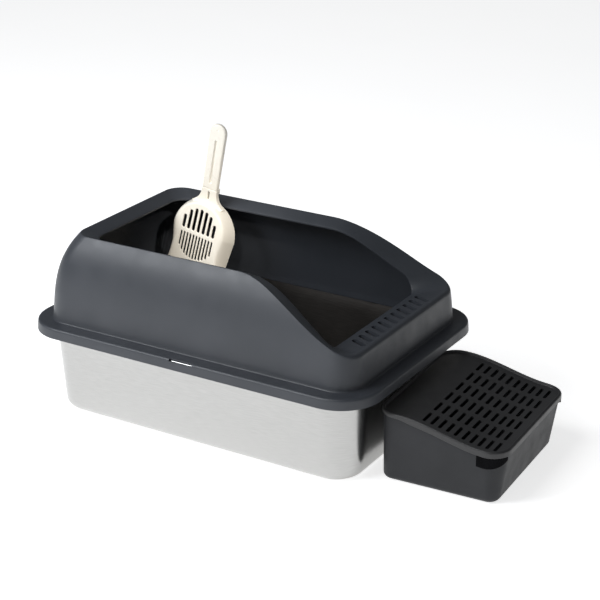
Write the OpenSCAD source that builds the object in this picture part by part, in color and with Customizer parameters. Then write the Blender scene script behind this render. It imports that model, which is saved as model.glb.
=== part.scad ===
// Cat litter box: a deep stainless steel pan, a high open-topped plastic hood that
// caps its rim, a litter-catching step box with a slotted lid, and a hanging scoop.
// X runs along the pan towards the entry, Y across it, Z up. The origin is the
// centre of the pan's underside, which is the face that the box stands on.

/* [Hood] */
// Length of the hood over its skirt
hood_l = 600; // [500:10:720]
// Width of the hood over its skirt
hood_w = 400; // [330:10:480]
// Height of the crest above the floor
hood_h = 286; // [250:1:345]
// Height of the entry lip above the floor
entry_h = 203; // [185:1:225]
// Length along X over which the long walls fall to the entry
entry_run = 206; // [170:2:250]
// Wall thickness of the moulding
hood_t = 2.8; // [2:0.1:3.4]
// Width of the flange that lies on the pan's rim
flange_w = 25; // [20:1:30]
// Height of the skirt that hides the rim
skirt_h = 16.3; // [12:0.1:20]
// How far the walls lean in between flange and crest
wall_lean = 38; // [28:1:46]
// Width of the band that turns in from the crest
band_w = 22; // [16:1:27]
// Width of the same band where the long walls have fallen
band_low_w = 31; // [24:1:36]
// Width of the entry shelf
shelf_w = 54; // [44:1:62]
// Drop of the entry shelf towards the pan
shelf_drop = 11; // [6:1:15]
// Number of drain slots in the entry shelf
shelf_slots = 11; // [5:1:12]

/* [Pan] */
// Height of the pan from floor to rim
pan_h = 147; // [122:1:160]
// Sheet thickness of the pan
pan_t = 1; // [0.8:0.1:1.6]
// How far the walls lean in from rim to floor
pan_taper = 10; // [2:1:20]
// Width of the flat rim turned out from the wall
rim_w = 20; // [15:1:24]

/* [Step box] */
// Length of the step box at its lid
step_l = 199; // [160:1:232]
// Width of the step box at its lid
step_w = 255; // [215:1:310]
// Height of the lid's rim at the pan side
step_h = 115.5; // [96:0.5:118]
// Fall of the lid from the pan side to its outer end
step_fall = 26; // [10:0.5:34]
// Wall thickness of the bin and its lid
step_t = 2.4; // [1.8:0.2:3]
// Angle at which the loose step box stands to the pan
step_turn = 3; // [0:0.5:4]
// Slot columns along the lid
slot_cols = 10; // [5:1:10]
// Slot rows across the lid
slot_rows = 6; // [3:1:6]

/* [Scoop] */
// Width of the scoop's bowl
bowl_w = 116; // [104:1:138]
// Length of the bowl from its round end to its mouth
bowl_l = 140; // [128:1:160]
// Depth of the bowl
bowl_d = 24; // [18:1:28]
// Length of the handle above its seam
handle_l = 112; // [95:1:140]
// Width of the handle
handle_w = 29; // [24:1:32]
// Lean of the hung scoop along the pan
scoop_lean = 10.5; // [0:0.5:12]

/* [Fits] */
// Gap between pieces that lift apart
gap = 0.5; // [0.3:0.1:0.8]

/* [Hidden] */

// Colours
steel_grey = [0.80, 0.80, 0.78];
slate_grey = [0.30, 0.32, 0.35];
charcoal = [0.22, 0.23, 0.24];
rubber_black = [0.05, 0.05, 0.06];
cream = [0.95, 0.93, 0.86];

// Cutters run this far past the faces they cut
over = 1;

// ---- shared functions ----

function mix(a, b, t) = a + (b - a) * t;
function clamp01(t) = min(1, max(0, t));
function ease(t) = (1 - cos(180 * clamp01(t))) / 2;
function bezier(a, b, c, t) = mix(mix(a, b, t), mix(b, c, t), t);

// A station is a place on any rounded rectangle: its share of the way along X and Y
// and the direction of the corner arc. Half of the list mirrors the other half in Y.
function half_stations(nx, ny, na) = concat(
    [for (i = [0 : ny - 1]) [1, (i + 0.5) / ny, 0]],
    [for (i = [0 : na]) [1, 1, 90 * i / na]],
    [for (i = [1 : nx - 1]) [1 - 2 * i / nx, 1, 90]],
    [for (i = [0 : na]) [-1, 1, 90 + 90 * i / na]],
    [for (i = [0 : ny - 1]) [-1, 1 - (i + 0.5) / ny, 180]]);
function stations(nx, ny, na) = let (half = half_stations(nx, ny, na))
    concat(half, [for (i = [len(half) - 1 : -1 : 0]) [half[i][0], -half[i][1], -half[i][2]]]);

// Place of a station on a rectangle of half sizes hx and hy with corners of radius r
function on_rect(s, hx, hy, r, cx = 0) =
    [cx + s[0] * (hx - r) + r * cos(s[2]), s[1] * (hy - r) + r * sin(s[2])];

// Columns run up one station; rings run round the stations
function rings_from(columns) = [for (k = [0 : len(columns[0]) - 1])
    [for (column = columns) column[k]]];

function side_faces(n, m, wrap) = [
    for (i = [0 : n - (wrap ? 1 : 2)], j = [0 : m - 1])
        let (k = (i + 1) % n, l = (j + 1) % m)
        each [[i * m + j, k * m + j, k * m + l], [i * m + j, k * m + l, i * m + l]]];
// A fan about the middle of an end ring closes it
function cap_faces(base, m, middle, up) = [
    for (j = [0 : m - 1])
        let (a = base + j, b = base + (j + 1) % m)
        up ? [b, a, middle] : [a, b, middle]];
function ring_middle(ring) = (ring[0] + ring[len(ring) / 2]) / 2;

// Solid through a list of rings; wrap joins the last ring to the first
module skin(rings, wrap = false) {
    n = len(rings);
    m = len(rings[0]);
    middles = wrap ? [] : [ring_middle(rings[0]), ring_middle(rings[n - 1])];
    polyhedron(
        points = concat([for (ring = rings) each ring], middles),
        faces = concat(side_faces(n, m, wrap),
                       wrap ? [] : cap_faces(0, m, n * m, false),
                       wrap ? [] : cap_faces((n - 1) * m, m, n * m + 1, true)));
}

// Bar through a list of four-cornered sections, closed at both ends
module bar(sections) {
    n = len(sections);
    polyhedron(
        points = [for (section = sections) each section],
        faces = concat(
            [for (i = [0 : n - 2], j = [0 : 3])
                let (a = i * 4 + j, b = i * 4 + (j + 1) % 4)
                each [[a, a + 4, b + 4], [a, b + 4, b]]],
            [[0, 1, 2], [0, 2, 3]],
            [[4 * n - 1, 4 * n - 2, 4 * n - 3], [4 * n - 1, 4 * n - 3, 4 * n - 4]]));
}

// Upright slot with round ends between two points of a plan
module slot(a, b, width, z, height, sides) {
    hull() {
        for (p = [a, b])
            translate([p[0], p[1], z]) cylinder(d = width, h = height, $fn = sides);
    }
}

// ---- pan ----

// The pan's rim fits inside the hood's skirt, which narrows upwards by this much
skirt_draft = 1;
pan_half_x = hood_l / 2 - hood_t - skirt_draft - gap - rim_w;
pan_half_y = hood_w / 2 - hood_t - skirt_draft - gap - rim_w;
pan_r = 55;
pan_floor_r = 14;
bead_r = 2.4;
pan_stations = stations(4, 3, 7);

// Rows of the section are [offset out from the top of the wall, height]
function pan_lean(z) = -pan_taper * (1 - z / pan_h);
function pan_outside() = concat(
    [for (a = [0 : 22.5 : 90])
        [pan_lean(pan_floor_r) - pan_floor_r * (1 - sin(a)), pan_floor_r * (1 - cos(a))]],
    [[pan_lean(pan_h / 2), pan_h / 2], [pan_lean(pan_h - 5), pan_h - 5],
     [1, pan_h - pan_t - 1], [4, pan_h - pan_t]]);
function pan_bead() = [for (a = [-160 : 40 : 90])
    [rim_w - bead_r + bead_r * cos(a), pan_h - bead_r + bead_r * sin(a)]];
function pan_inside() = concat(
    [[4, pan_h], [0, pan_h - 1.4], [pan_lean(pan_h - 5) - pan_t, pan_h - 5],
     [pan_lean(pan_h / 2) - pan_t, pan_h / 2]],
    [for (a = [90 : -22.5 : 0])
        [pan_lean(pan_floor_r) - pan_t - (pan_floor_r - pan_t) * (1 - sin(a)),
         pan_t + (pan_floor_r - pan_t) * (1 - cos(a))]]);
function pan_ring(row) = [for (s = pan_stations)
    let (p = on_rect(s, pan_half_x + row[0], pan_half_y + row[0], pan_r + row[0]))
    [p[0], p[1], row[1]]];

module steel_pan() {
    color(steel_grey)
        skin([for (row = concat(pan_outside(), pan_bead(), pan_inside())) pan_ring(row)]);
}

// ---- hood ----

flange_top = pan_h + gap + hood_t;
skirt_z = flange_top - skirt_h;
skirt_round = 4;
hood_r = 66;
junction_r = 41;
crest_r = 29;
hood_stations = stations(26, 5, 7);

// The long walls fall between these places along X
entry_end = hood_l / 2 - flange_w + 4;
entry_start = entry_end - entry_run;
function crest_z(x) = mix(hood_h, entry_h, ease((x - entry_start) / entry_run));

// Inset of the wall's outside from the skirt: upright low down, rolling in higher up
wall_straight = 0.31;
wall_roll = 3.66;
function wall_share(z) = clamp01((z - flange_top) / (hood_h - flange_top));
function wall_inset(z) = let (t = wall_share(z))
    flange_w + wall_lean * (wall_straight * t + (1 - wall_straight) * pow(t, wall_roll));
function wall_at(s, z, depth) = let (
        inset = wall_inset(z) + depth,
        r = mix(junction_r, crest_r, wall_share(z)) - depth,
        p = on_rect(s, hood_l / 2 - inset, hood_w / 2 - inset, r))
    [p[0], p[1], z];
function flange_at(s, inset, z) = let (
        r = mix(hood_r, junction_r, clamp01(inset / flange_w)),
        p = on_rect(s, hood_l / 2 - inset, hood_w / 2 - inset, r))
    [p[0], p[1], z];

// Lip that hangs inside the pan and hides its rim, with the pan's own corners
lip_gap = 1.2;
lip_t = 1.3;
lip_h = 9;
function lip_at(s, inset, z) = let (
        out = hood_t + skirt_draft + gap + rim_w + pan_t + lip_gap + inset,
        p = on_rect(s, hood_l / 2 - out, hood_w / 2 - out, pan_r - pan_t - lip_gap - inset))
    [p[0], p[1], z];

// Share of the soft entry edge at a station: none on the long walls, all on the shelf
function entry_share(s) = s[0] == 1 ? ease(1 - abs(s[2]) / 90) : 0;
function top_z(s) = mix(crest_z(wall_at(s, mix(flange_top, hood_h, 0.6), 0)[0]), entry_h,
                        entry_share(s));
edge_crisp = 1.2;
edge_soft = 8;
function edge_round(s) = mix(edge_crisp, edge_soft, entry_share(s));

// Opening inside the band: it widens with the band's outer edge as the walls fall
open_r = 22;
open_x0 = -(hood_l / 2 - flange_w - wall_lean - band_w);
open_x1 = hood_l / 2 - flange_w - 6 - shelf_w;
band_slope = 0.5;
function band_at(x) = mix(band_w, band_low_w, ease((x - entry_start) / (entry_run / 2)));
function open_half_y(x) = hood_w / 2 - wall_inset(crest_z(x)) - band_at(x);
function open_at(s, depth) = let (
        cx = (open_x0 + open_x1) / 2,
        hx = (open_x1 - open_x0) / 2,
        x = on_rect(s, hx, hx, open_r, cx)[0],
        p = on_rect(s, hx, open_half_y(x), open_r, cx),
        z = mix(crest_z(x) - band_slope * band_at(x), entry_h - shelf_drop, entry_share(s)))
    [p[0], p[1], z - depth];

// Rounded edge between the wall and the band, from t = 0 on the wall to 1 on the band
function crest_at(s, t) = let (
        top = top_z(s),
        e = edge_round(s),
        crest = wall_at(s, top, 0),
        inner = open_at(s, 0),
        across = crest + (inner - crest) * e / norm(inner - crest))
    bezier(wall_at(s, top - e, 0), crest, across, t);

function hood_column(s) = let (
        top = top_z(s),
        edge = edge_round(s),
        foot = flange_top + edge_crisp,
        under = top - hood_t - edge,
        seat = flange_top - hood_t,
        inner = open_at(s, 0))
    concat(
        [flange_at(s, 0, skirt_z), flange_at(s, skirt_draft, flange_top - skirt_round)],
        [for (a = [30 : 30 : 90])
            flange_at(s, skirt_draft + skirt_round * (1 - cos(a)),
                      flange_top - skirt_round * (1 - sin(a)))],
        [flange_at(s, flange_w - edge_crisp, flange_top)],
        [for (i = [0 : 8]) wall_at(s, mix(foot, top - edge, i / 9), 0)],
        [for (t = [0 : 0.25 : 1]) crest_at(s, t)],
        [mix(crest_at(s, 1), inner, 0.55), inner, open_at(s, hood_t)],
        [mix(wall_at(s, under, hood_t), open_at(s, hood_t), 0.5)],
        [for (i = [0 : 7]) wall_at(s, mix(under, flange_top, i / 7), hood_t)],
        [lip_at(s, lip_t, seat), lip_at(s, lip_t, seat - lip_h),
         lip_at(s, 0, seat - lip_h), lip_at(s, 0, seat),
         flange_at(s, skirt_draft + hood_t, seat),
         flange_at(s, hood_t, skirt_z)]);

// Slanted drain slots along the middle of the shelf
shelf_slot_w = 8;
shelf_slot_run = [26, -19];
shelf_slot_x = (open_x1 + hood_l / 2 - flange_w - edge_soft) / 2 + 2;
shelf_slot_pitch = (hood_w - 2 * flange_w - 136) / shelf_slots;

module shelf_slot(y) {
    slot([shelf_slot_x, y] - shelf_slot_run / 2, [shelf_slot_x, y] + shelf_slot_run / 2,
         shelf_slot_w, entry_h - shelf_drop - 4 * hood_t, shelf_drop + 6 * hood_t, 16);
}

// Window over the pan's rim at the middle of each long side
window_l = 40;
window_w = 5;

module rim_window() {
    translate([-window_l / 2, hood_w / 2 - window_w, flange_top - hood_t - over])
        cube([window_l, window_w + over, hood_t + 2 * over]);
}

module hood() {
    color(slate_grey)
        difference() {
            skin(rings_from([for (s = hood_stations) hood_column(s)]), wrap = true);
            for (i = [0 : shelf_slots - 1])
                shelf_slot((i - (shelf_slots - 1) / 2) * shelf_slot_pitch);
            rim_window();
            mirror([0, 1, 0]) rim_window();
        }
}

// ---- step box, in its own frame: centred, with its pan side at -X ----

step_r = 32;
lid_rim_h = 4;
lid_rim_w = 5;
lid_edge_h = lid_rim_h + step_t;
lid_skirt_h = 10;
bin_inset = step_t + gap;
bin_taper_x = 12.5;
bin_taper_y = 12.5;
bin_floor_r = 9;
step_clearance = 2.5;
step_y = 3;
step_stations = stations(18, 3, 6);
step_reach = (step_l / 2 - step_r) * cos(step_turn) + (step_w / 2 - step_r) * sin(step_turn)
    + step_r;
step_x = pan_half_x + pan_lean(step_h) + step_clearance + step_reach;

module step_place() {
    translate([step_x, step_y, 0]) rotate([0, 0, step_turn]) children();
}

// Height of the lid's rim: level by the pan, then falling to the outer end
function rim_z(x) = step_h - step_fall * ease((x / step_l + 0.35) / 0.77);
function lid_at(s, inset, drop) = let (
        p = on_rect(s, step_l / 2 - inset, step_w / 2 - inset, step_r - inset))
    [p[0], p[1], rim_z(p[0]) - drop];
// The skirt fades out at the pan side, where the lid pivots
function skirt_drop(s) = let (x = lid_at(s, 0, 0)[0])
    mix(lid_edge_h, lid_skirt_h, ease((x + step_l / 2 - step_r) / step_r));

// Outside of the bin at a share t of its height
function bin_at(s, t, inset) = on_rect(s,
    step_l / 2 - bin_inset - bin_taper_x / 2 * (1 - t) - inset,
    step_w / 2 - bin_inset - bin_taper_y * (1 - t) - inset,
    step_r - bin_inset - bin_taper_y * (1 - t) - inset,
    -bin_taper_x / 2 * (1 - t));
function bin_top(s) = rim_z(bin_at(s, 1, 0)[0]) - lid_edge_h - gap;
function bin_floor(s, top, inset, a) = let (
        r = bin_floor_r - inset,
        z = inset + r * (1 - cos(a)),
        p = bin_at(s, z / top, inset + r * (1 - sin(a))))
    [p[0], p[1], z];
function bin_wall(s, top, inset, t) = let (p = bin_at(s, t, inset)) [p[0], p[1], t * top];
function bin_column(s) = let (top = bin_top(s))
    concat(
        [for (a = [0 : 30 : 90]) bin_floor(s, top, 0, a)],
        [bin_wall(s, top, 0, 0.5), bin_wall(s, top, 0, 1)],
        [bin_wall(s, top, step_t, 1), bin_wall(s, top, step_t, 0.5)],
        [for (a = [90 : -30 : 0]) bin_floor(s, top, step_t, a)]);

module step_bin() {
    color(charcoal)
        step_place() skin(rings_from([for (s = step_stations) bin_column(s)]));
}

function lid_column(s) = let (skirt = skirt_drop(s))
    [lid_at(s, step_t, lid_edge_h), lid_at(s, step_t, skirt + 0.1), lid_at(s, 0, skirt + 0.1),
     lid_at(s, 0.8, 2.5), lid_at(s, 1.6, 0.8), lid_at(s, 3, 0),
     lid_at(s, lid_rim_w - 1, 0), lid_at(s, lid_rim_w, 0.8),
     lid_at(s, lid_rim_w + 0.8, lid_rim_h)];

slot_pitch_x = 12.1;
slot_pitch_y = 38.8;
slot_w = 5;
slot_l = 29;
slot_x0 = -step_l / 2 + 69;

module lid_slot(x, y) {
    reach = (slot_l - slot_w) / 2;
    slot([x, y - reach], [x, y + reach], slot_w, rim_z(x) - 3 * lid_edge_h,
         5 * lid_edge_h, 8);
}

module step_lid() {
    color(charcoal)
        step_place() difference() {
            skin(rings_from([for (s = step_stations) lid_column(s)]));
            for (i = [0 : slot_cols - 1], j = [0 : slot_rows - 1])
                lid_slot(slot_x0 + i * slot_pitch_x, (j - (slot_rows - 1) / 2) * slot_pitch_y);
        }
}

// Rubber grip under the lid's skirt, wrapped round an outer corner of the bin
grip_h = 17;
grip_end_h = 5;
grip_seat = 0.05;
grip_stations = concat([[0.86, -1, -90]], [for (a = [-90 : 10 : -20]) [1, -1, a]]);

function grip_section(s, share) = let (
        h = mix(grip_h, grip_end_h, pow(share, 3)),
        outer = lid_at(s, 0.3, skirt_drop(s) + 0.1 + gap),
        top = outer[2],
        low = top - h,
        in_top = bin_at(s, top / bin_top(s), -grip_seat),
        in_low = bin_at(s, low / bin_top(s), -grip_seat))
    [[in_low[0], in_low[1], low], [outer[0], outer[1], low], outer, [in_top[0], in_top[1], top]];

module grip() {
    color(rubber_black)
        bar([for (i = [0 : len(grip_stations) - 1])
            grip_section(grip_stations[i], i / (len(grip_stations) - 1))]);
}

module grip_near() {
    step_place() grip();
}

module grip_far() {
    step_place() mirror([0, 1, 0]) grip();
}

// ---- scoop, in its own frame: lying along X, bowl down, round end of the bowl at 0 ----

scoop_t = 2.4;
plateau_w = 87;
plateau_inset = 6;
mouth_drop = 5;
mouth_share = 0.85;
handle_t = 8;
handle_z = 6 - bowl_d;
neck_l = 23;
neck_slot = [6, 17];
neck_flare = 8;
hook_w = 6;
hook_y = 10;
hook_t = 4;
hook_lip = 6;
spigot = [8, 15, 4];
scoop_stations = stations(10, 2, 8);
scoop_x = -148;
bowl_pitch = 8;
crest_y = hood_w / 2 - flange_w - wall_lean;
scoop_back_y = open_half_y(scoop_x) - 3;
scoop_y = scoop_back_y - bowl_d;
hook_x = 2;
scoop_z = hood_h + 2 * gap - (hook_y - hook_w / 2) * sin(scoop_lean) - hook_x * cos(scoop_lean);
hook_reach = crest_y + hook_t + 5 - scoop_y;

module scoop_place() {
    translate([scoop_x, scoop_y, scoop_z])
        rotate([0, scoop_lean, 0]) rotate([90, 0, 0]) rotate([0, 0, 90]) children();
}

// The bowl is pitched forward from the handle about the back of its round end
module bowl_place() {
    translate([0, 0, -bowl_d]) rotate([0, bowl_pitch, 0]) translate([0, 0, bowl_d]) children();
}

// Outline with a round end of radius r1 at x1 and corners of radius r0 at x0
function on_bowl(s, x0, x1, hy, r0, r1) = let (
        r = s[0] > 0 ? r1 : r0,
        along = (s[0] + 1) / 2)
    [mix(x0 + r0, x1 - r1, along) + r * cos(s[2]),
     (s[1] * (hy - r) + r * sin(s[2])) * mix(mouth_share, 1, along)];
// The bowl's section blends from its flat bottom, t = 0, to its rim, t = 1
function bowl_at(s, t, inset) = let (
        flat = on_bowl(s, -bowl_l + 26, -plateau_inset - inset, plateau_w / 2 - inset,
                       plateau_w / 2 - inset - 3, plateau_w / 2 - inset - 1),
        rim = on_bowl(s, -bowl_l + inset / 2, -inset, bowl_w / 2 - inset, 9,
                      bowl_w / 2 - inset - 1),
        share = pow(t, 0.6),
        fall = s[0] == -1 ? mouth_drop
            : mix(mouth_drop, bowl_d, ease((s[0] + 1) / 0.9)),
        p = mix(flat, rim, share),
        roll = pow(t, 1.2))
    [p[0], p[1], -inset - (fall - inset) * roll];
bowl_steps = [0, 0.12, 0.3, 0.6, 1];
function bowl_column(s) = concat(
    [for (t = bowl_steps) bowl_at(s, t, scoop_t)],
    [for (i = [len(bowl_steps) - 1 : -1 : 0]) bowl_at(s, bowl_steps[i], 0)]);

upper_slots = 7;
upper_pitch = 9.5;
upper_w = 5.4;
lower_slots = 11;
lower_pitch = 5.9;
lower_w = 3;
slot_bar_x = -51;
// Ends of a slot at y follow ovals drawn inside the flat bottom
function oval(y, half) = sqrt(max(0, 1 - pow(y / half, 2)));

module scoop_slots() {
    for (i = [0 : upper_slots - 1]) {
        y = (i - (upper_slots - 1) / 2) * upper_pitch;
        slot([slot_bar_x, y], [slot_bar_x + 4 + 30 * oval(y, 31.5), y], upper_w,
             -3 * scoop_t, 4 * scoop_t, 12);
    }
    for (i = [0 : lower_slots - 1]) {
        y = (i - (lower_slots - 1) / 2) * lower_pitch;
        slot([slot_bar_x - 10, y], [slot_bar_x - 20 - 28 * oval(y, 33), y], lower_w,
             -3 * scoop_t, 4 * scoop_t, 8);
    }
}

// The neck flares in a curve to the bowl and runs a little way into its round end
function neck_half(x) = handle_w / 2 + neck_flare * pow((neck_l - x) / neck_l, 3);
module neck() {
    steps = [neck_l : -2 : -6];
    translate([0, 0, handle_z])
        linear_extrude(handle_t)
            polygon(concat([for (x = steps) [x, neck_half(x)]],
                           [for (x = [-5 : 2 : neck_l]) [x, -neck_half(x)]]));
}

// Hook: an arm back over the crest with a lip down its outside, as one L shape
module hook() {
    rise = hook_reach + handle_z + over;
    translate([hook_x, hook_y + hook_w / 2, -hook_reach]) rotate([90, 0, 0])
        linear_extrude(hook_w)
            polygon([[0, rise], [0, hook_t], [-hook_lip, hook_t], [-hook_lip, 0],
                     [hook_t, 0], [hook_t, rise]]);
}

module scoop_head() {
    color(cream)
        scoop_place() difference() {
            union() {
                bowl_place() skin(rings_from([for (s = scoop_stations) bowl_column(s)]));
                neck();
                hook();
                translate([neck_l - over, -spigot[1] / 2, handle_z + (handle_t - spigot[2]) / 2])
                    cube([spigot[0] + over, spigot[1], spigot[2]]);
            }
            bowl_place() scoop_slots();
            slot([neck_slot[0], 0], [neck_slot[1], 0], 2.2, handle_z - over,
                 handle_t + 2 * over, 12);
        }
}

groove_w = 3;
groove_deep = 2.5;
module scoop_handle() {
    slack = 0.2;
    color(cream)
        scoop_place() difference() {
            hull() {
                translate([neck_l, -handle_w / 2, handle_z]) cube([1, handle_w, handle_t]);
                translate([neck_l + handle_l - handle_w / 2 - 1, 0, handle_z])
                    cylinder(d = handle_w + 2, h = handle_t, $fn = 48);
            }
            translate([neck_l - over, -spigot[1] / 2 - slack,
                       handle_z + (handle_t - spigot[2]) / 2 - slack])
                cube([spigot[0] + over + slack, spigot[1] + 2 * slack, spigot[2] + 2 * slack]);
            slot([neck_l + 12, 0], [neck_l + 82, 0], groove_w,
                 handle_z + handle_t - groove_deep, groove_deep + over, 12);
            translate([neck_l + handle_l - 10, 0, handle_z + handle_t - 0.8])
                cylinder(d = 3.4, h = 2, $fn = 24);
        }
}

steel_pan();
hood();
step_bin();
step_lid();
grip_near();
grip_far();
scoop_head();
scoop_handle();
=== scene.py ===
"""Cat litter box: steel pan, high hood, litter-catching step box and hanging scoop."""
import math

import bmesh
import bpy
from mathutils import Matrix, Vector


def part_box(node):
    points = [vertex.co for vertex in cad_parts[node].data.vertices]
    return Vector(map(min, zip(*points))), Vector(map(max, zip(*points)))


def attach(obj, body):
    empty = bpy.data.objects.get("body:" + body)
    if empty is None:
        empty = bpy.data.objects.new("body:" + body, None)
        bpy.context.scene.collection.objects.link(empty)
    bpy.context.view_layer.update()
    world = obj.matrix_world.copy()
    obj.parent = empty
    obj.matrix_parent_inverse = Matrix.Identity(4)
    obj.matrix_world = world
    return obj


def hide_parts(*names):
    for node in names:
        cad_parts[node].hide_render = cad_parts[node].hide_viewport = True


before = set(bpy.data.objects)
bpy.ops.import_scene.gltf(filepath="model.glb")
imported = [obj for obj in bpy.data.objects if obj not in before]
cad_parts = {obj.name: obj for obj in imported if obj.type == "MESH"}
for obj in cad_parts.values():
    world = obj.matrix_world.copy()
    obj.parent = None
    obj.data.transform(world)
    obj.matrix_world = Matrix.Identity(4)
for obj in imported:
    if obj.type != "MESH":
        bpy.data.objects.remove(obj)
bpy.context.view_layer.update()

MM = 0.001
DEG = math.pi / 180


# ---- shared shape functions, in millimetres, with the CAD model's formulas ----

def mix(a, b, t):
    return a + (b - a) * t


def clamp01(t):
    return min(1.0, max(0.0, t))


def ease(t):
    return (1 - math.cos(math.pi * clamp01(t))) / 2


def cosd(a):
    return math.cos(a * DEG)


def sind(a):
    return math.sin(a * DEG)


def lerp(a, b, t):
    return tuple(mix(p, q, t) for p, q in zip(a, b))


def half_stations(nx, ny, na):
    """Places round half a rounded rectangle: shares of its straight sides and a corner angle."""
    out = [(1, (i + 0.5) / ny, 0) for i in range(ny)]
    out += [(1, 1, 90 * i / na) for i in range(na + 1)]
    out += [(1 - 2 * i / nx, 1, 90) for i in range(1, nx)]
    out += [(-1, 1, 90 + 90 * i / na) for i in range(na + 1)]
    out += [(-1, 1 - (i + 0.5) / ny, 180) for i in range(ny)]
    return out


def stations(nx, ny, na):
    half = half_stations(nx, ny, na)
    return half + [(x, -y, -a) for x, y, a in reversed(half)]


def on_rect(s, hx, hy, r, cx=0.0):
    return (cx + s[0] * (hx - r) + r * cosd(s[2]), s[1] * (hy - r) + r * sind(s[2]))


def mesh_object(name, points, faces):
    mesh = bpy.data.meshes.new(name)
    mesh.from_pydata([tuple(c * MM for c in p) for p in points], [], faces)
    mesh.validate()
    made = bpy.data.objects.new(name, mesh)
    bpy.context.scene.collection.objects.link(made)
    return made


def tidy(made, angle=32):
    """Outward normals, smooth shading and sharp edges kept only above the angle."""
    work = bmesh.new()
    work.from_mesh(made.data)
    bmesh.ops.remove_doubles(work, verts=work.verts, dist=1e-6)
    bmesh.ops.recalc_face_normals(work, faces=work.faces)
    work.to_mesh(made.data)
    work.free()
    made.data.shade_smooth()
    made.data.set_sharp_from_angle(angle=angle * DEG)
    return made


def quads_between(rings, wrap=False):
    n, m = len(rings), len(rings[0])
    faces = []
    for i in range(n if wrap else n - 1):
        above = (i + 1) % n
        for j in range(m):
            after = (j + 1) % m
            faces.append((i * m + j, above * m + j, above * m + after, i * m + after))
    return faces


def skin(name, rings, wrap=False):
    """Solid through a list of rings; wrap joins the last ring to the first."""
    n, m = len(rings), len(rings[0])
    points = [p for ring in rings for p in ring]
    faces = quads_between(rings, wrap)
    if not wrap:
        faces.append(tuple(range(m)))
        faces.append(tuple((n - 1) * m + j for j in reversed(range(m))))
    return mesh_object(name, points, faces)


def from_columns(name, columns, wrap=False):
    return skin(name, [list(ring) for ring in zip(*columns)], wrap)


def stadium(a, b, width, z0, z1, points, faces, sides=10):
    """Adds an upright slot cutter with round ends from a to b."""
    heading = math.atan2(b[1] - a[1], b[0] - a[0])
    ring = []
    for centre, start in ((b, -90), (a, 90)):
        for i in range(sides + 1):
            t = heading + (start + 180 * i / sides) * DEG
            ring.append((centre[0] + width / 2 * math.cos(t), centre[1] + width / 2 * math.sin(t)))
    base, m = len(points), len(ring)
    points += [(x, y, z0) for x, y in ring] + [(x, y, z1) for x, y in ring]
    faces += [(base + j, base + (j + 1) % m, base + m + (j + 1) % m, base + m + j) for j in range(m)]
    faces.append(tuple(base + j for j in reversed(range(m))))
    faces.append(tuple(base + m + j for j in range(m)))


def block(low, high, points, faces):
    """Adds a box between two corners."""
    base = len(points)
    points += [(x, y, z) for z in (low[2], high[2]) for y in (low[1], high[1]) for x in (low[0], high[0])]
    faces += [tuple(base + i for i in f) for f in
              ((0, 2, 3, 1), (4, 5, 7, 6), (0, 1, 5, 4), (2, 6, 7, 3), (0, 4, 6, 2), (1, 3, 7, 5))]


def apply_modifiers(made):
    graph = bpy.context.evaluated_depsgraph_get()
    mesh = bpy.data.meshes.new_from_object(made.evaluated_get(graph))
    made.modifiers.clear()
    old, made.data = made.data, mesh
    bpy.data.meshes.remove(old)


def boolean(made, other, operation):
    step = made.modifiers.new("cut", "BOOLEAN")
    step.operation = operation
    step.solver = "EXACT"
    step.object = other
    apply_modifiers(made)
    mesh = other.data
    bpy.data.objects.remove(other)
    bpy.data.meshes.remove(mesh)


def turn_in(made, place):
    """Moves a mesh's points by a function in millimetres."""
    for v in made.data.vertices:
        v.co = Vector(place(tuple(c / MM for c in v.co))) * MM


# ---- sizes that the frame gives ----

def box_mm(node):
    low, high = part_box(node)
    return [c / MM for c in low], [c / MM for c in high]


hood_low, hood_high = box_mm("hood")
pan_low, pan_high = box_mm("steel_pan")
HOOD_L = hood_high[0] - hood_low[0]
HOOD_W = hood_high[1] - hood_low[1]
HOOD_H = hood_high[2]
PAN_H = pan_high[2]
GAP = 0.5
HOOD_T = 2.8
FLANGE_W = 25.0
FLANGE_TOP = PAN_H + GAP + HOOD_T
SKIRT_Z = hood_low[2]
SKIRT_ROUND = 4.0
SKIRT_LEAN = 1.0
LEAN = 38.0
ENTRY_H = 203.0
ENTRY_END = HOOD_L / 2 - FLANGE_W + 4
ENTRY_RUN = 206.0
ENTRY_START = ENTRY_END - ENTRY_RUN
BAND_W, BAND_LOW_W = 22.0, 31.0
SHELF_W, SHELF_DROP = 54.0, 11.0
HOOD_R, JUNCTION_R, CREST_R, OPEN_R = 66.0, 41.0, 29.0, 22.0
CRISP, SOFT = 1.2, 8.0
LIP_GAP, LIP_T, LIP_H = 1.2, 1.3, 9.0
SHELF_SLOTS, SHELF_SLOT_W, SHELF_SLOT_RUN, SHELF_SLOT_MARGIN = 11, 8.0, (26.0, -19.0), 136.0
WINDOW_L, WINDOW_DEEP = 40.0, 5.0
LEAN_EARLY, LEAN_POWER = 0.31, 3.66
OPEN_X0 = -(HOOD_L / 2 - FLANGE_W - LEAN - BAND_W)
OPEN_X1 = HOOD_L / 2 - FLANGE_W - 6 - SHELF_W


# ---- pan ----

PAN_T, PAN_TAPER, RIM_W, SKIRT_DRAFT = 1.0, 10.0, 20.0, 1.0
PAN_R, PAN_FLOOR_R, BEAD_R = 55.0, 14.0, 2.4
PAN_X = HOOD_L / 2 - HOOD_T - SKIRT_DRAFT - GAP - RIM_W
PAN_Y = HOOD_W / 2 - HOOD_T - SKIRT_DRAFT - GAP - RIM_W


def pan_lean(z):
    return -PAN_TAPER * (1 - z / PAN_H)


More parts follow.
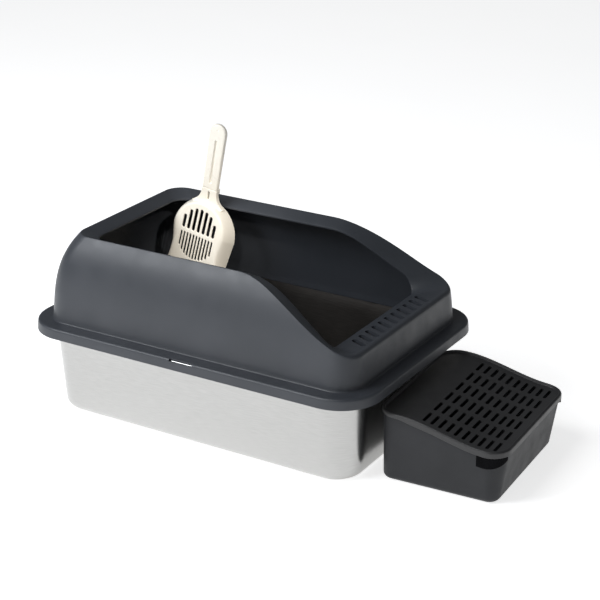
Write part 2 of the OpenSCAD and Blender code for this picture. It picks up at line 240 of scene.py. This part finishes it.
def pan_rows():
    r, t = PAN_FLOOR_R, PAN_T
    foot = pan_lean(r)
    rows = [(foot - r * (1 - sind(a)), r * (1 - cosd(a))) for a in range(0, 91, 9)]
    rows += [(pan_lean(z), z) for z in (40, 80, 115, PAN_H - 5)]
    rows += [(0.35, PAN_H - t - 2.2), (1.3, PAN_H - t - 0.7), (3.2, PAN_H - t), (8, PAN_H - t)]
    rows += [(RIM_W - BEAD_R + BEAD_R * cosd(a), PAN_H - BEAD_R + BEAD_R * sind(a))
             for a in range(-160, 91, 18)]
    rows += [(4, PAN_H), (1.6, PAN_H - 0.3), (0.3, PAN_H - 1.2), (pan_lean(PAN_H - 5) - t, PAN_H - 5)]
    rows += [(pan_lean(z) - t, z) for z in (115, 80, 40)]
    rows += [(foot - t - (r - t) * (1 - sind(a)), t + (r - t) * (1 - cosd(a)))
             for a in range(90, -1, -9)]
    return rows


def make_pan():
    around = stations(8, 6, 20)
    rings = []
    for out, z in pan_rows():
        rings.append([on_rect(s, PAN_X + out, PAN_Y + out, PAN_R + out) + (z,) for s in around])
    return tidy(skin("pan_sheet", rings), 40)


# ---- hood ----

def crest_z(x):
    return mix(HOOD_H, ENTRY_H, ease((x - ENTRY_START) / ENTRY_RUN))


def wall_share(z):
    return clamp01((z - FLANGE_TOP) / (HOOD_H - FLANGE_TOP))


def wall_inset(z):
    t = wall_share(z)
    return FLANGE_W + LEAN * (LEAN_EARLY * t + (1 - LEAN_EARLY) * t ** LEAN_POWER)


def wall_at(s, z, depth):
    inset = wall_inset(z) + depth
    r = mix(JUNCTION_R, CREST_R, wall_share(z)) - depth
    return on_rect(s, HOOD_L / 2 - inset, HOOD_W / 2 - inset, r) + (z,)


def flange_at(s, inset, z):
    r = mix(HOOD_R, JUNCTION_R, clamp01(inset / FLANGE_W))
    return on_rect(s, HOOD_L / 2 - inset, HOOD_W / 2 - inset, r) + (z,)


def lip_at(s, inset, z):
    out = HOOD_T + SKIRT_DRAFT + GAP + RIM_W + PAN_T + LIP_GAP + inset
    return on_rect(s, HOOD_L / 2 - out, HOOD_W / 2 - out, PAN_R - PAN_T - LIP_GAP - inset) + (z,)


def entry_share(s):
    return ease(1 - abs(s[2]) / 90) if s[0] == 1 else 0.0


def top_z(s):
    x = wall_at(s, mix(FLANGE_TOP, HOOD_H, 0.6), 0)[0]
    return mix(crest_z(x), ENTRY_H, entry_share(s))


def band_at(x):
    return mix(BAND_W, BAND_LOW_W, ease((x - ENTRY_START) / (ENTRY_RUN / 2)))


def open_half_y(x):
    return HOOD_W / 2 - wall_inset(crest_z(x)) - band_at(x)


def open_at(s, depth):
    cx, hx = (OPEN_X0 + OPEN_X1) / 2, (OPEN_X1 - OPEN_X0) / 2
    x = on_rect(s, hx, hx, OPEN_R, cx)[0]
    p = on_rect(s, hx, open_half_y(x), OPEN_R, cx)
    z = mix(crest_z(x) - 0.5 * band_at(x), ENTRY_H - SHELF_DROP, entry_share(s))
    return p + (z - depth,)


def crest_at(s, t):
    top, e = top_z(s), mix(CRISP, SOFT, entry_share(s))
    crest, inner = Vector(wall_at(s, top, 0)), Vector(open_at(s, 0))
    across = crest + (inner - crest).normalized() * e
    low = Vector(wall_at(s, top - e, 0))
    return tuple((low.lerp(crest, t)).lerp(crest.lerp(across, t), t))


def hood_column(s):
    top, edge = top_z(s), mix(CRISP, SOFT, entry_share(s))
    under = top - HOOD_T - edge
    seat = FLANGE_TOP - HOOD_T
    inner, inner_low = open_at(s, 0), open_at(s, HOOD_T)
    # Outside: the skirt, the flange's round edge and top, and the foot of the wall
    out = [flange_at(s, 0, SKIRT_Z), flange_at(s, SKIRT_LEAN / 2, (SKIRT_Z + FLANGE_TOP) / 2),
           flange_at(s, SKIRT_LEAN, FLANGE_TOP - SKIRT_ROUND)]
    out += [flange_at(s, SKIRT_LEAN + SKIRT_ROUND * (1 - cosd(a)),
                      FLANGE_TOP - SKIRT_ROUND * (1 - sind(a))) for a in range(15, 91, 15)]
    out += [flange_at(s, 14, FLANGE_TOP), flange_at(s, FLANGE_W - 3, FLANGE_TOP)]
    foot = [(FLANGE_W - 1.6, 0.05), (FLANGE_W - 0.7, 0.45)]
    out += [flange_at(s, inset, FLANGE_TOP + rise) for inset, rise in foot]
    # The wall, its crest and the turned-in band with a thin lip
    out += [wall_at(s, mix(FLANGE_TOP + 1.6, top - edge, i / 26), 0) for i in range(27)]
    out += [crest_at(s, t / 8) for t in range(1, 9)]
    end = crest_at(s, 1)
    out += [lerp(end, inner, t) for t in (0.25, 0.5, 0.75, 0.96)]
    lip = [lerp(inner, inner_low, t) for t in (0.12, 0.5, 0.88)]
    # Inside: under the band, down the wall, then the lip that hangs in the pan and the seat
    wall_in = wall_at(s, under, HOOD_T)
    out += lip + [lerp(wall_in, inner_low, t) for t in (0.96, 0.7, 0.4, 0.15)]
    out += [wall_at(s, mix(under, FLANGE_TOP, i / 20), HOOD_T) for i in range(21)]
    out += [lip_at(s, LIP_T, seat), lip_at(s, LIP_T, seat - LIP_H), lip_at(s, 0, seat - LIP_H),
            lip_at(s, 0, seat), flange_at(s, SKIRT_DRAFT + HOOD_T, seat),
            flange_at(s, HOOD_T, SKIRT_Z)]
    return out


def make_hood():
    made = from_columns("hood_moulding", [hood_column(s) for s in stations(110, 16, 18)], True)
    tidy(made)
    points, faces = [], []
    run_x, run_y = SHELF_SLOT_RUN
    x = (OPEN_X1 + HOOD_L / 2 - FLANGE_W - SOFT) / 2 + 2
    pitch = (HOOD_W - 2 * FLANGE_W - SHELF_SLOT_MARGIN) / SHELF_SLOTS
    for i in range(SHELF_SLOTS):
        y = (i - (SHELF_SLOTS - 1) / 2) * pitch
        stadium((x - run_x / 2, y - run_y / 2), (x + run_x / 2, y + run_y / 2), SHELF_SLOT_W,
                ENTRY_H - SHELF_DROP - 12, ENTRY_H + 8, points, faces)
    for side in (-1, 1):
        y = sorted((side * (HOOD_W / 2 - WINDOW_DEEP), side * (HOOD_W / 2 + 1)))
        block((-WINDOW_L / 2, y[0], FLANGE_TOP - HOOD_T - 1), (WINDOW_L / 2, y[1], FLANGE_TOP + 1),
              points, faces)
    boolean(made, tidy(mesh_object("hood_cutter", points, faces)), "DIFFERENCE")
    return tidy(made)


# ---- step box ----

STEP_L, STEP_W, STEP_H, STEP_FALL, STEP_TURN = 199.0, 255.0, 115.5, 26.0, 3.0
STEP_R, STEP_T = 32.0, 2.4
LID_RIM_H, LID_RIM_W, LID_SKIRT_H = 4.0, 5.0, 10.0
LID_EDGE_H = LID_RIM_H + STEP_T
BIN_INSET, BIN_TAPER, BIN_FLOOR_R = STEP_T + GAP, 12.5, 9.0
SLOT_COLUMNS, SLOT_PITCH_X, SLOT_FIRST = 10, 12.1, 69.0
SLOT_ROWS, SLOT_PITCH_Y, SLOT_W, SLOT_L = 6, 38.8, 5.0, 29.0
GRIP_START, GRIP_TURN, GRIP_H, GRIP_END_H = 0.86, 70.0, 17.0, 5.0
LID_SIDE_STATIONS = 14
lid_low, lid_high = box_mm("step_lid")
STEP_X, STEP_Y = (lid_low[0] + lid_high[0]) / 2, (lid_low[1] + lid_high[1]) / 2


def step_place(p):
    c, s = cosd(STEP_TURN), sind(STEP_TURN)
    return (STEP_X + c * p[0] - s * p[1], STEP_Y + s * p[0] + c * p[1], p[2])


def rim_z(x):
    return STEP_H - STEP_FALL * ease((x / STEP_L + 0.35) / 0.77)


def lid_at(s, inset, drop):
    p = on_rect(s, STEP_L / 2 - inset, STEP_W / 2 - inset, STEP_R - inset)
    return p + (rim_z(p[0]) - drop,)


def skirt_drop(s):
    x = lid_at(s, 0, 0)[0]
    return mix(LID_EDGE_H, LID_SKIRT_H, ease((x + STEP_L / 2 - STEP_R) / STEP_R))


def bin_at(s, t, inset):
    return on_rect(s, STEP_L / 2 - BIN_INSET - BIN_TAPER / 2 * (1 - t) - inset,
                   STEP_W / 2 - BIN_INSET - BIN_TAPER * (1 - t) - inset,
                   STEP_R - BIN_INSET - BIN_TAPER * (1 - t) - inset, -BIN_TAPER / 2 * (1 - t))


def bin_top(s):
    return rim_z(bin_at(s, 1, 0)[0]) - LID_EDGE_H - GAP


def bin_column(s):
    top = bin_top(s)

    def floor(inset, a):
        r = BIN_FLOOR_R - inset
        z = inset + r * (1 - cosd(a))
        return bin_at(s, z / top, inset + r * (1 - sind(a))) + (z,)

    out = [floor(0, a) for a in range(0, 91, 10)]
    out += [bin_at(s, t, 0) + (t * top,) for t in (0.25, 0.4, 0.55, 0.7, 0.85, 0.985)]
    out += [bin_at(s, 1, 0.4) + (top,), bin_at(s, 1, STEP_T - 0.4) + (top,)]
    out += [bin_at(s, t, STEP_T) + (t * top,) for t in (0.985, 0.85, 0.7, 0.55, 0.4, 0.25)]
    out += [floor(STEP_T, a) for a in range(90, -1, -10)]
    return out


def make_bin():
    made = from_columns("bin_moulding", [bin_column(s) for s in stations(40, 12, 16)])
    turn_in(made, step_place)
    return tidy(made)


def lid_column(s):
    skirt = skirt_drop(s)
    out = [lid_at(s, STEP_T, LID_EDGE_H), lid_at(s, STEP_T, skirt + 0.1),
           lid_at(s, STEP_T - 0.4, skirt + 0.4), lid_at(s, 0.4, skirt + 0.1),
           lid_at(s, 0.02, skirt - 0.5), lid_at(s, 0.02, 4.6)]
    out += [lid_at(s, 3.2 * (1 - cosd(a)), 3.2 * (1 - sind(a))) for a in range(0, 91, 15)]
    out += [lid_at(s, LID_RIM_W - 1.4, 0)]
    out += [lid_at(s, LID_RIM_W - 1.4 + 1.2 * sind(a), 1.2 * (1 - cosd(a))) for a in (30, 60, 90)]
    out += [lid_at(s, LID_RIM_W + 0.1, LID_RIM_H - 0.9), lid_at(s, LID_RIM_W + 0.5, LID_RIM_H - 0.3),
            lid_at(s, LID_RIM_W + 1.4, LID_RIM_H)]
    return out


def make_lid():
    side = LID_SIDE_STATIONS
    rings = [list(ring) for ring in zip(*[lid_column(s) for s in stations(72, side, 16)])]
    m, n = len(rings[0]), len(rings)
    points = [p for ring in rings for p in ring]
    faces = quads_between(rings)
    # The plate closes in strips across the lid, each strip at its own height
    last = m // 2 - side
    for base in (0, (n - 1) * m):
        faces.append(tuple(base + j for j in list(range(side)) + list(range(m - side, m))))
        faces.append(tuple(base + j for j in range(last, m // 2 + side)))
        for j in range(side - 1, last):
            faces.append((base + j, base + j + 1, base + m - 2 - j, base + m - 1 - j))
    made = tidy(mesh_object("lid_moulding", points, faces))
    cut, cut_faces = [], []
    reach = (SLOT_L - SLOT_W) / 2
    for i in range(SLOT_COLUMNS):
        x = -STEP_L / 2 + SLOT_FIRST + i * SLOT_PITCH_X
        for j in range(SLOT_ROWS):
            y = (j - (SLOT_ROWS - 1) / 2) * SLOT_PITCH_Y
            stadium((x, y - reach), (x, y + reach), SLOT_W, rim_z(x) - 20, rim_z(x) + 14,
                    cut, cut_faces, 8)
    boolean(made, tidy(mesh_object("lid_cutter", cut, cut_faces)), "DIFFERENCE")
    turn_in(made, step_place)
    return tidy(made)


def make_grip(name, side):
    """Rubber grip under the lid's skirt, wrapped round an outer corner of the bin."""
    around = [(GRIP_START + (1 - GRIP_START) * i / 4, -1, -90) for i in range(4)]
    around += [(1, -1, -90 + GRIP_TURN * i / 20) for i in range(21)]
    rings = []
    for i, s in enumerate(around):
        share = i / (len(around) - 1)
        h = mix(GRIP_H, GRIP_END_H, share ** 3)
        outer = lid_at(s, 0.3, skirt_drop(s) + 0.1 + GAP)
        top, low = outer[2], outer[2] - h
        in_top = bin_at(s, top / bin_top(s), -0.05)
        in_low = bin_at(s, low / bin_top(s), -0.05)
        a, b = (in_low[0], in_low[1], low), (outer[0], outer[1], low)
        c, d = outer, (in_top[0], in_top[1], top)
        ring = [a, lerp(a, b, 0.75), lerp(b, c, 0.03), lerp(b, c, 0.35), lerp(b, c, 0.65),
                lerp(b, c, 0.97), lerp(c, d, 0.25), d]
        rings.append([(p[0], side * p[1], p[2]) for p in ring])
    made = skin(name, rings)
    turn_in(made, step_place)
    return tidy(made, 50)


# ---- scoop ----

BOWL_W, BOWL_L, BOWL_D, BOWL_PITCH, BOWL_T = 116.0, 140.0, 24.0, 8.0, 2.4
PLATEAU_HALF, PLATEAU_INSET, PLATEAU_END = 43.5, 6.0, 26.0
MOUTH_SHARE, MOUTH_DROP, MOUTH_R = 0.85, 5.0, 9.0
LONG_SLOTS, LONG_SLOT_PITCH, LONG_SLOT_W = 7, 9.5, 5.4
FINE_SLOTS, FINE_SLOT_PITCH, FINE_SLOT_W = 11, 5.9, 3.0
HANDLE_L, HANDLE_W, HANDLE_T = 112.0, 29.0, 8.0
HANDLE_Z, NECK_L, LEAN_SCOOP = 6 - BOWL_D, 23.0, 10.5
NECK_FLARE, NECK_SLOT, NECK_SLOT_W = 8.0, (17.0, 6.0), 3.2
GROOVE, GROOVE_W, GROOVE_DEEP = (82.0, 12.0), 3.8, 2.5
DIMPLE_IN, DIMPLE_W, DIMPLE_DEEP = 10.0, 3.0, 0.8
VOXEL = 0.75
SCOOP_X = -148.0
SCOOP_Y = open_half_y(SCOOP_X) - 3 - BOWL_D
HOOK_X, HOOK_Y, HOOK_W, HOOK_T, HOOK_LIP = 2.0, 10.0, 6.0, 4.0, 6.0
SCOOP_Z = HOOD_H + 2 * GAP - (HOOK_Y - HOOK_W / 2) * sind(LEAN_SCOOP) - HOOK_X * cosd(LEAN_SCOOP)
HOOK_REACH = HOOD_W / 2 - FLANGE_W - LEAN + HOOK_T + 5 - SCOOP_Y


def scoop_place(p):
    # Along the scoop, across it and towards its front become Z, -X and -Y, then it leans
    x, y, z = -p[1], -p[2], p[0]
    c, s = cosd(LEAN_SCOOP), sind(LEAN_SCOOP)
    return (SCOOP_X + c * x + s * z, SCOOP_Y + y, SCOOP_Z - s * x + c * z)


def bowl_place(p):
    x, y, z = p[0], p[1], p[2] + BOWL_D
    c, s = cosd(BOWL_PITCH), sind(BOWL_PITCH)
    return (c * x + s * z, y, -s * x + c * z - BOWL_D)


def on_bowl(s, x0, x1, hy, r0, r1):
    r, along = (r1 if s[0] > 0 else r0), (s[0] + 1) / 2
    return (mix(x0 + r0, x1 - r1, along) + r * cosd(s[2]),
            (s[1] * (hy - r) + r * sind(s[2])) * mix(MOUTH_SHARE, 1, along))


def bowl_at(s, t, inset):
    """A point of the bowl's section, from its flat bottom, t = 0, to its rim, t = 1."""
    half = PLATEAU_HALF - inset
    flat = on_bowl(s, -BOWL_L + PLATEAU_END, -PLATEAU_INSET - inset, half, half - 3, half - 1)
    rim = on_bowl(s, -BOWL_L + inset / 2, -inset, BOWL_W / 2 - inset, MOUTH_R,
                  BOWL_W / 2 - inset - 1)
    fall = MOUTH_DROP if s[0] == -1 else mix(MOUTH_DROP, BOWL_D, ease((s[0] + 1) / 0.9))
    return lerp(flat, rim, t ** 0.6) + (-inset - (fall - inset) * t ** 1.2,)


def oval(y, half):
    return math.sqrt(max(0.0, 1 - (y / half) ** 2))


def soft_solid(made, voxel, rounds):
    """Melts a union of solids into one moulding with small fillets at its edges."""
    step = made.modifiers.new("melt", "REMESH")
    step.mode = "VOXEL"
    step.voxel_size = voxel * MM
    relax = made.modifiers.new("relax", "SMOOTH")
    relax.factor = 0.5
    relax.iterations = rounds
    apply_modifiers(made)
    made.data.shade_smooth()
    return made


def rounded_bar(name, x0, x1, w0, w1, z0, z1, edge):
    """Flat bar along X with rounded long edges, whose far end is a half circle."""
    steps, r = 5, w1 / 2
    angles = [90 * k / steps for k in range(steps + 1)]
    profile = [(edge * (1 - cosd(a)), edge * (1 - sind(a))) for a in angles]
    outline = [(x0, -w0 / 2)]
    outline += [(x1 - r + r * sind(a), -r * cosd(a)) for a in range(0, 181, 10)]
    outline += [(x0, w0 / 2)]
    cx = sum(p[0] for p in outline) / len(outline)
    heights = [(z0 + dz, dx) for dx, dz in reversed(profile)] + [(z1 - dz, dx) for dx, dz in profile]
    rings = []
    for z, out in heights:
        ring = []
        for x, y in outline:
            ring.append((x if x <= x0 else x - out * clamp01((x - cx) / (x1 - cx)),
                         y - math.copysign(min(out, abs(y)), y), z))
        rings.append(ring)
    return tidy(skin(name, rings), 60)


def neck_half(x):
    return HANDLE_W / 2 + NECK_FLARE * ((NECK_L - x) / NECK_L) ** 3


def prism(name, outline, low, high):
    rings = [[(x, y, z) for x, y in outline] for z in (low, high)]
    return tidy(skin(name, rings), 40)


def scoop_slot_cutter():
    """Two rows of slots whose ends follow the round plateau: long and wide above, fine below."""
    cut, faces = [], []
    for i in range(LONG_SLOTS):
        y = (i - (LONG_SLOTS - 1) / 2) * LONG_SLOT_PITCH
        stadium((-51 + 4 + 30 * oval(y, 31.5), y), (-51, y), LONG_SLOT_W, -8, 5, cut, faces, 10)
    for i in range(FINE_SLOTS):
        y = (i - (FINE_SLOTS - 1) / 2) * FINE_SLOT_PITCH
        stadium((-61, y), (-71 - 28 * oval(y, 33), y), FINE_SLOT_W, -8, 5, cut, faces, 8)
    return tidy(mesh_object("slot_cutter", cut, faces))


def box_object(name, low, high):
    points, faces = [], []
    block(low, high, points, faces)
    return mesh_object(name, points, faces)


def make_scoop_head():
    columns = []
    steps = [i / 12 for i in range(13)]
    for s in stations(40, 10, 24):
        columns.append([bowl_at(s, t, BOWL_T) for t in steps]
                       + [bowl_at(s, t, 0) for t in reversed(steps)])
    made = tidy(from_columns("scoop_bowl", columns))
    boolean(made, scoop_slot_cutter(), "DIFFERENCE")
    turn_in(made, bowl_place)
    outline = [(x, neck_half(x)) for x in range(int(NECK_L), -7, -1)]
    outline += [(x, -half) for x, half in reversed(outline)]
    boolean(made, prism("neck", outline, HANDLE_Z, HANDLE_Z + HANDLE_T), "UNION")
    # The hook reaches back over the hood's crest and ends in a lip that points down
    left, right = HOOK_Y - HOOK_W / 2, HOOK_Y + HOOK_W / 2
    boolean(made, box_object("hook_arm", (HOOK_X, left, -HOOK_REACH),
                             (HOOK_X + HOOK_T, right, HANDLE_Z + 1)), "UNION")
    boolean(made, box_object("hook_lip", (HOOK_X - HOOK_LIP, left, -HOOK_REACH),
                             (HOOK_X + 1, right, -HOOK_REACH + HOOK_T)), "UNION")
    points, faces = [], []
    stadium((NECK_SLOT[0], 0), (NECK_SLOT[1], 0), NECK_SLOT_W, HANDLE_Z - 1,
            HANDLE_Z + HANDLE_T + 1, points, faces)
    boolean(made, mesh_object("neck_slot", points, faces), "DIFFERENCE")
    soft_solid(made, VOXEL, 4)
    turn_in(made, scoop_place)
    return made


def make_scoop_handle():
    face, end = HANDLE_Z + HANDLE_T, NECK_L + HANDLE_L
    made = rounded_bar("scoop_grip", NECK_L + 0.15, end, HANDLE_W, HANDLE_W + 2, HANDLE_Z, face, 2.6)
    points, faces = [], []
    stadium((NECK_L + GROOVE[0], 0), (NECK_L + GROOVE[1], 0), GROOVE_W, face - GROOVE_DEEP, face + 1,
            points, faces)
    stadium((end - DIMPLE_IN + 0.1, 0), (end - DIMPLE_IN - 0.1, 0), DIMPLE_W, face - DIMPLE_DEEP,
            face + 1, points, faces)
    boolean(made, tidy(mesh_object("groove_cutter", points, faces)), "DIFFERENCE")
    soft_solid(made, VOXEL, 3)
    turn_in(made, scoop_place)
    return made


# ---- materials ----

def link(tree, a, b):
    tree.links.new(a, b)


def noise_node(tree, coords, scale, detail=4.0, stretch=None):
    source = coords.outputs["Object"]
    if stretch:
        place = tree.nodes.new("ShaderNodeMapping")
        place.inputs["Scale"].default_value = stretch
        link(tree, source, place.inputs["Vector"])
        source = place.outputs["Vector"]
    node = tree.nodes.new("ShaderNodeTexNoise")
    node.inputs["Scale"].default_value = scale
    node.inputs["Detail"].default_value = detail
    link(tree, source, node.inputs["Vector"])
    return node.outputs["Fac"]


def ranged(tree, value, low, high, out_low, out_high):
    node = tree.nodes.new("ShaderNodeMapRange")
    node.inputs["From Min"].default_value = low
    node.inputs["From Max"].default_value = high
    node.inputs["To Min"].default_value = out_low
    node.inputs["To Max"].default_value = out_high
    link(tree, value, node.inputs["Value"])
    return node.outputs["Result"]


def two_tone(tree, value, dark, light, low=0.35, high=0.65):
    ramp = tree.nodes.new("ShaderNodeValToRGB")
    ramp.color_ramp.elements[0].position = low
    ramp.color_ramp.elements[0].color = (*dark, 1)
    ramp.color_ramp.elements[1].position = high
    ramp.color_ramp.elements[1].color = (*light, 1)
    link(tree, value, ramp.inputs["Fac"])
    return ramp.outputs["Color"]


def base_material(name, metallic=0.0, specular=0.5):
    made = bpy.data.materials.new(name)
    made.use_nodes = True
    tree = made.node_tree
    shader = tree.nodes["Principled BSDF"]
    shader.inputs["Metallic"].default_value = metallic
    shader.inputs["Specular IOR Level"].default_value = specular
    coords = tree.nodes.new("ShaderNodeTexCoord")
    return made, tree, shader, coords


def bump(tree, shader, height, strength, distance):
    node = tree.nodes.new("ShaderNodeBump")
    node.inputs["Strength"].default_value = strength
    node.inputs["Distance"].default_value = distance
    link(tree, height, node.inputs["Height"])
    link(tree, node.outputs["Normal"], shader.inputs["Normal"])


def plastic(name, dark, light, rough=(0.36, 0.48), grain=1500.0, strength=0.12, specular=0.5):
    """Moulded plastic: faint flow mottling, fine spark-eroded grain, uneven sheen."""
    made, tree, shader, coords = base_material(name, 0.0, specular)
    mottle = noise_node(tree, coords, 9.0, 5.0)
    link(tree, two_tone(tree, mottle, dark, light), shader.inputs["Base Color"])
    wear = noise_node(tree, coords, 38.0, 6.0)
    link(tree, ranged(tree, wear, 0.3, 0.7, *rough), shader.inputs["Roughness"])
    fine = noise_node(tree, coords, grain, 2.0)
    bump(tree, shader, fine, strength, 0.0002)
    return made


def steel(name, dark, light, rough):
    """Deep-drawn stainless sheet with a fine brushed grain that runs level."""
    made, tree, shader, coords = base_material(name, 1.0)
    brush = noise_node(tree, coords, 60.0, 3.0, (1.0, 1.0, 26.0))
    link(tree, two_tone(tree, brush, dark, light, 0.3, 0.7), shader.inputs["Base Color"])
    smear = noise_node(tree, coords, 7.0, 4.0)
    link(tree, ranged(tree, smear, 0.3, 0.7, *rough), shader.inputs["Roughness"])
    bump(tree, shader, brush, 0.05, 0.0002)
    return made


def rubber():
    """Black rubber with a fine pattern of small raised pads."""
    made, tree, shader, coords = base_material("grip_rubber", 0.0, 0.03)
    pads = tree.nodes.new("ShaderNodeTexVoronoi")
    pads.inputs["Scale"].default_value = 420.0
    pads.inputs["Randomness"].default_value = 0.15
    link(tree, coords.outputs["Object"], pads.inputs["Vector"])
    tone = noise_node(tree, coords, 60.0, 3.0)
    link(tree, two_tone(tree, tone, (0.002, 0.002, 0.0025), (0.005, 0.005, 0.006)),
         shader.inputs["Base Color"])
    link(tree, ranged(tree, tone, 0.3, 0.7, 0.5, 0.66), shader.inputs["Roughness"])
    bump(tree, shader, ranged(tree, pads.outputs["Distance"], 0.0, 0.6, 1.0, 0.0), 0.8, 0.0006)
    return made


def finish_piece(made, body, material, node):
    made.data.materials.clear()
    made.data.materials.append(material)
    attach(made, body)
    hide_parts(node)


# ---- camera, light and floor ----

def set_camera():
    data = bpy.data.cameras.new("camera")
    data.lens = 103.4
    data.sensor_width = 36.0
    data.clip_end = 20.0
    camera = bpy.data.objects.new("camera", data)
    camera.location = (1.3392, -2.0779, 1.1911)
    camera.rotation_euler = (67.713 * DEG, 0, 31.102 * DEG)
    bpy.context.scene.collection.objects.link(camera)
    bpy.context.scene.camera = camera


def place_light(name, kind, place, aim, power, colour):
    data = bpy.data.lights.new(name, kind)
    data.energy = power
    data.color = colour
    lamp = bpy.data.objects.new(name, data)
    lamp.location = place
    lamp.rotation_euler = (Vector(aim) - Vector(place)).to_track_quat("-Z", "Y").to_euler()
    bpy.context.scene.collection.objects.link(lamp)
    return data


def area_light(name, place, aim, size, power, colour=(1, 1, 1)):
    data = place_light(name, "AREA", place, aim, power, colour)
    data.shape = "RECTANGLE"
    data.size, data.size_y = size


def spot_light(name, place, aim, angle, power, colour):
    data = place_light(name, "SPOT", place, aim, power, colour)
    data.spot_size = angle * DEG
    data.spot_blend = 0.9
    data.shadow_soft_size = 0.04


def set_floor():
    """Pale ground that glows a little, so that it stays white in the shade."""
    reach = 6.0 / MM
    points = [(-reach, -reach, 0), (reach, -reach, 0), (reach, reach, 0), (-reach, reach, 0)]
    floor = mesh_object("studio_floor", points, [(0, 1, 2, 3)])
    made, tree, shader, coords = base_material("pale_floor", 0.0, 0.2)
    tone = noise_node(tree, coords, 3.0, 3.0)
    pale = two_tone(tree, tone, (0.86, 0.86, 0.86), (0.88, 0.88, 0.88))
    link(tree, pale, shader.inputs["Base Color"])
    shader.inputs["Roughness"].default_value = 0.75
    shader.inputs["Emission Color"].default_value = (1, 1, 1, 1)
    shader.inputs["Emission Strength"].default_value = 0.72
    floor.data.materials.append(made)


def set_world():
    world = bpy.data.worlds.new("studio")
    world.use_nodes = True
    sky = world.node_tree.nodes["Background"]
    sky.inputs["Color"].default_value = (0.95, 0.97, 1.0, 1)
    sky.inputs["Strength"].default_value = 0.13
    bpy.context.scene.world = world
    bpy.context.scene.view_settings.view_transform = "Standard"


set_camera()
set_world()
set_floor()
area_light("key", (-1.25, -1.5, 1.7), (0, 0, 0.2), (1.5, 0.9), 42, (0.93, 0.96, 1))
area_light("front", (-0.2, -2.6, 0.8), (0, 0, 0.15), (2.2, 0.9), 10)
area_light("above", (-0.25, -1.0, 2.1), (-0.15, 0.1, 0.2), (0.9, 0.7), 12)
spot_light("scoop_fill", (0.75, -1.75, 1.75), (-0.16, 0.115, 0.215), 7.0, 60, (1, 0.93, 0.84))
spot_light("scoop_side", (1.5, -0.9, 1.5), (-0.15, 0.115, 0.20), 6.5, 125, (1, 0.94, 0.86))

# ---- pieces and their materials ----

satin_steel = steel("satin_steel", (0.40, 0.398, 0.388), (0.455, 0.452, 0.442), (0.17, 0.25))
inner_steel = steel("inner_steel", (0.115, 0.106, 0.098), (0.16, 0.148, 0.138), (0.34, 0.46))
slate = plastic("slate_plastic", (0.034, 0.038, 0.045), (0.040, 0.044, 0.052), specular=0.42)
bin_charcoal = plastic("bin_charcoal", (0.017, 0.018, 0.020), (0.022, 0.023, 0.026), (0.44, 0.56),
                       specular=0.25)
lid_charcoal = plastic("lid_charcoal", (0.020, 0.020, 0.021), (0.026, 0.026, 0.027))
grip_rubber = rubber()
cream = plastic("cream_plastic", (0.85, 0.81, 0.72), (0.87, 0.83, 0.74), (0.25, 0.34), 900.0, 0.03)

pan = make_pan()
finish_piece(pan, "pan", satin_steel, "steel_pan")
pan.data.materials.append(inner_steel)
for face in pan.data.polygons:
    # The inside of the wall, and the floor, get the darker, rougher steel
    facing_in = face.center.x * face.normal.x + face.center.y * face.normal.y < 0
    wall_face = facing_in and face.center.z < (PAN_H - 3) * MM
    floor_face = face.normal.z > 0.9 and face.center.z < PAN_H * MM / 2
    face.material_index = 1 if wall_face or floor_face else 0
finish_piece(make_hood(), "hood", slate, "hood")
finish_piece(make_bin(), "step_box", bin_charcoal, "step_bin")
finish_piece(make_lid(), "step_lid", lid_charcoal, "step_lid")
finish_piece(make_grip("grip_pad_near", 1), "step_box", grip_rubber, "grip_near")
finish_piece(make_grip("grip_pad_far", -1), "step_box", grip_rubber, "grip_far")
finish_piece(make_scoop_head(), "scoop", cream, "scoop_head")
finish_piece(make_scoop_handle(), "scoop", cream, "scoop_handle")
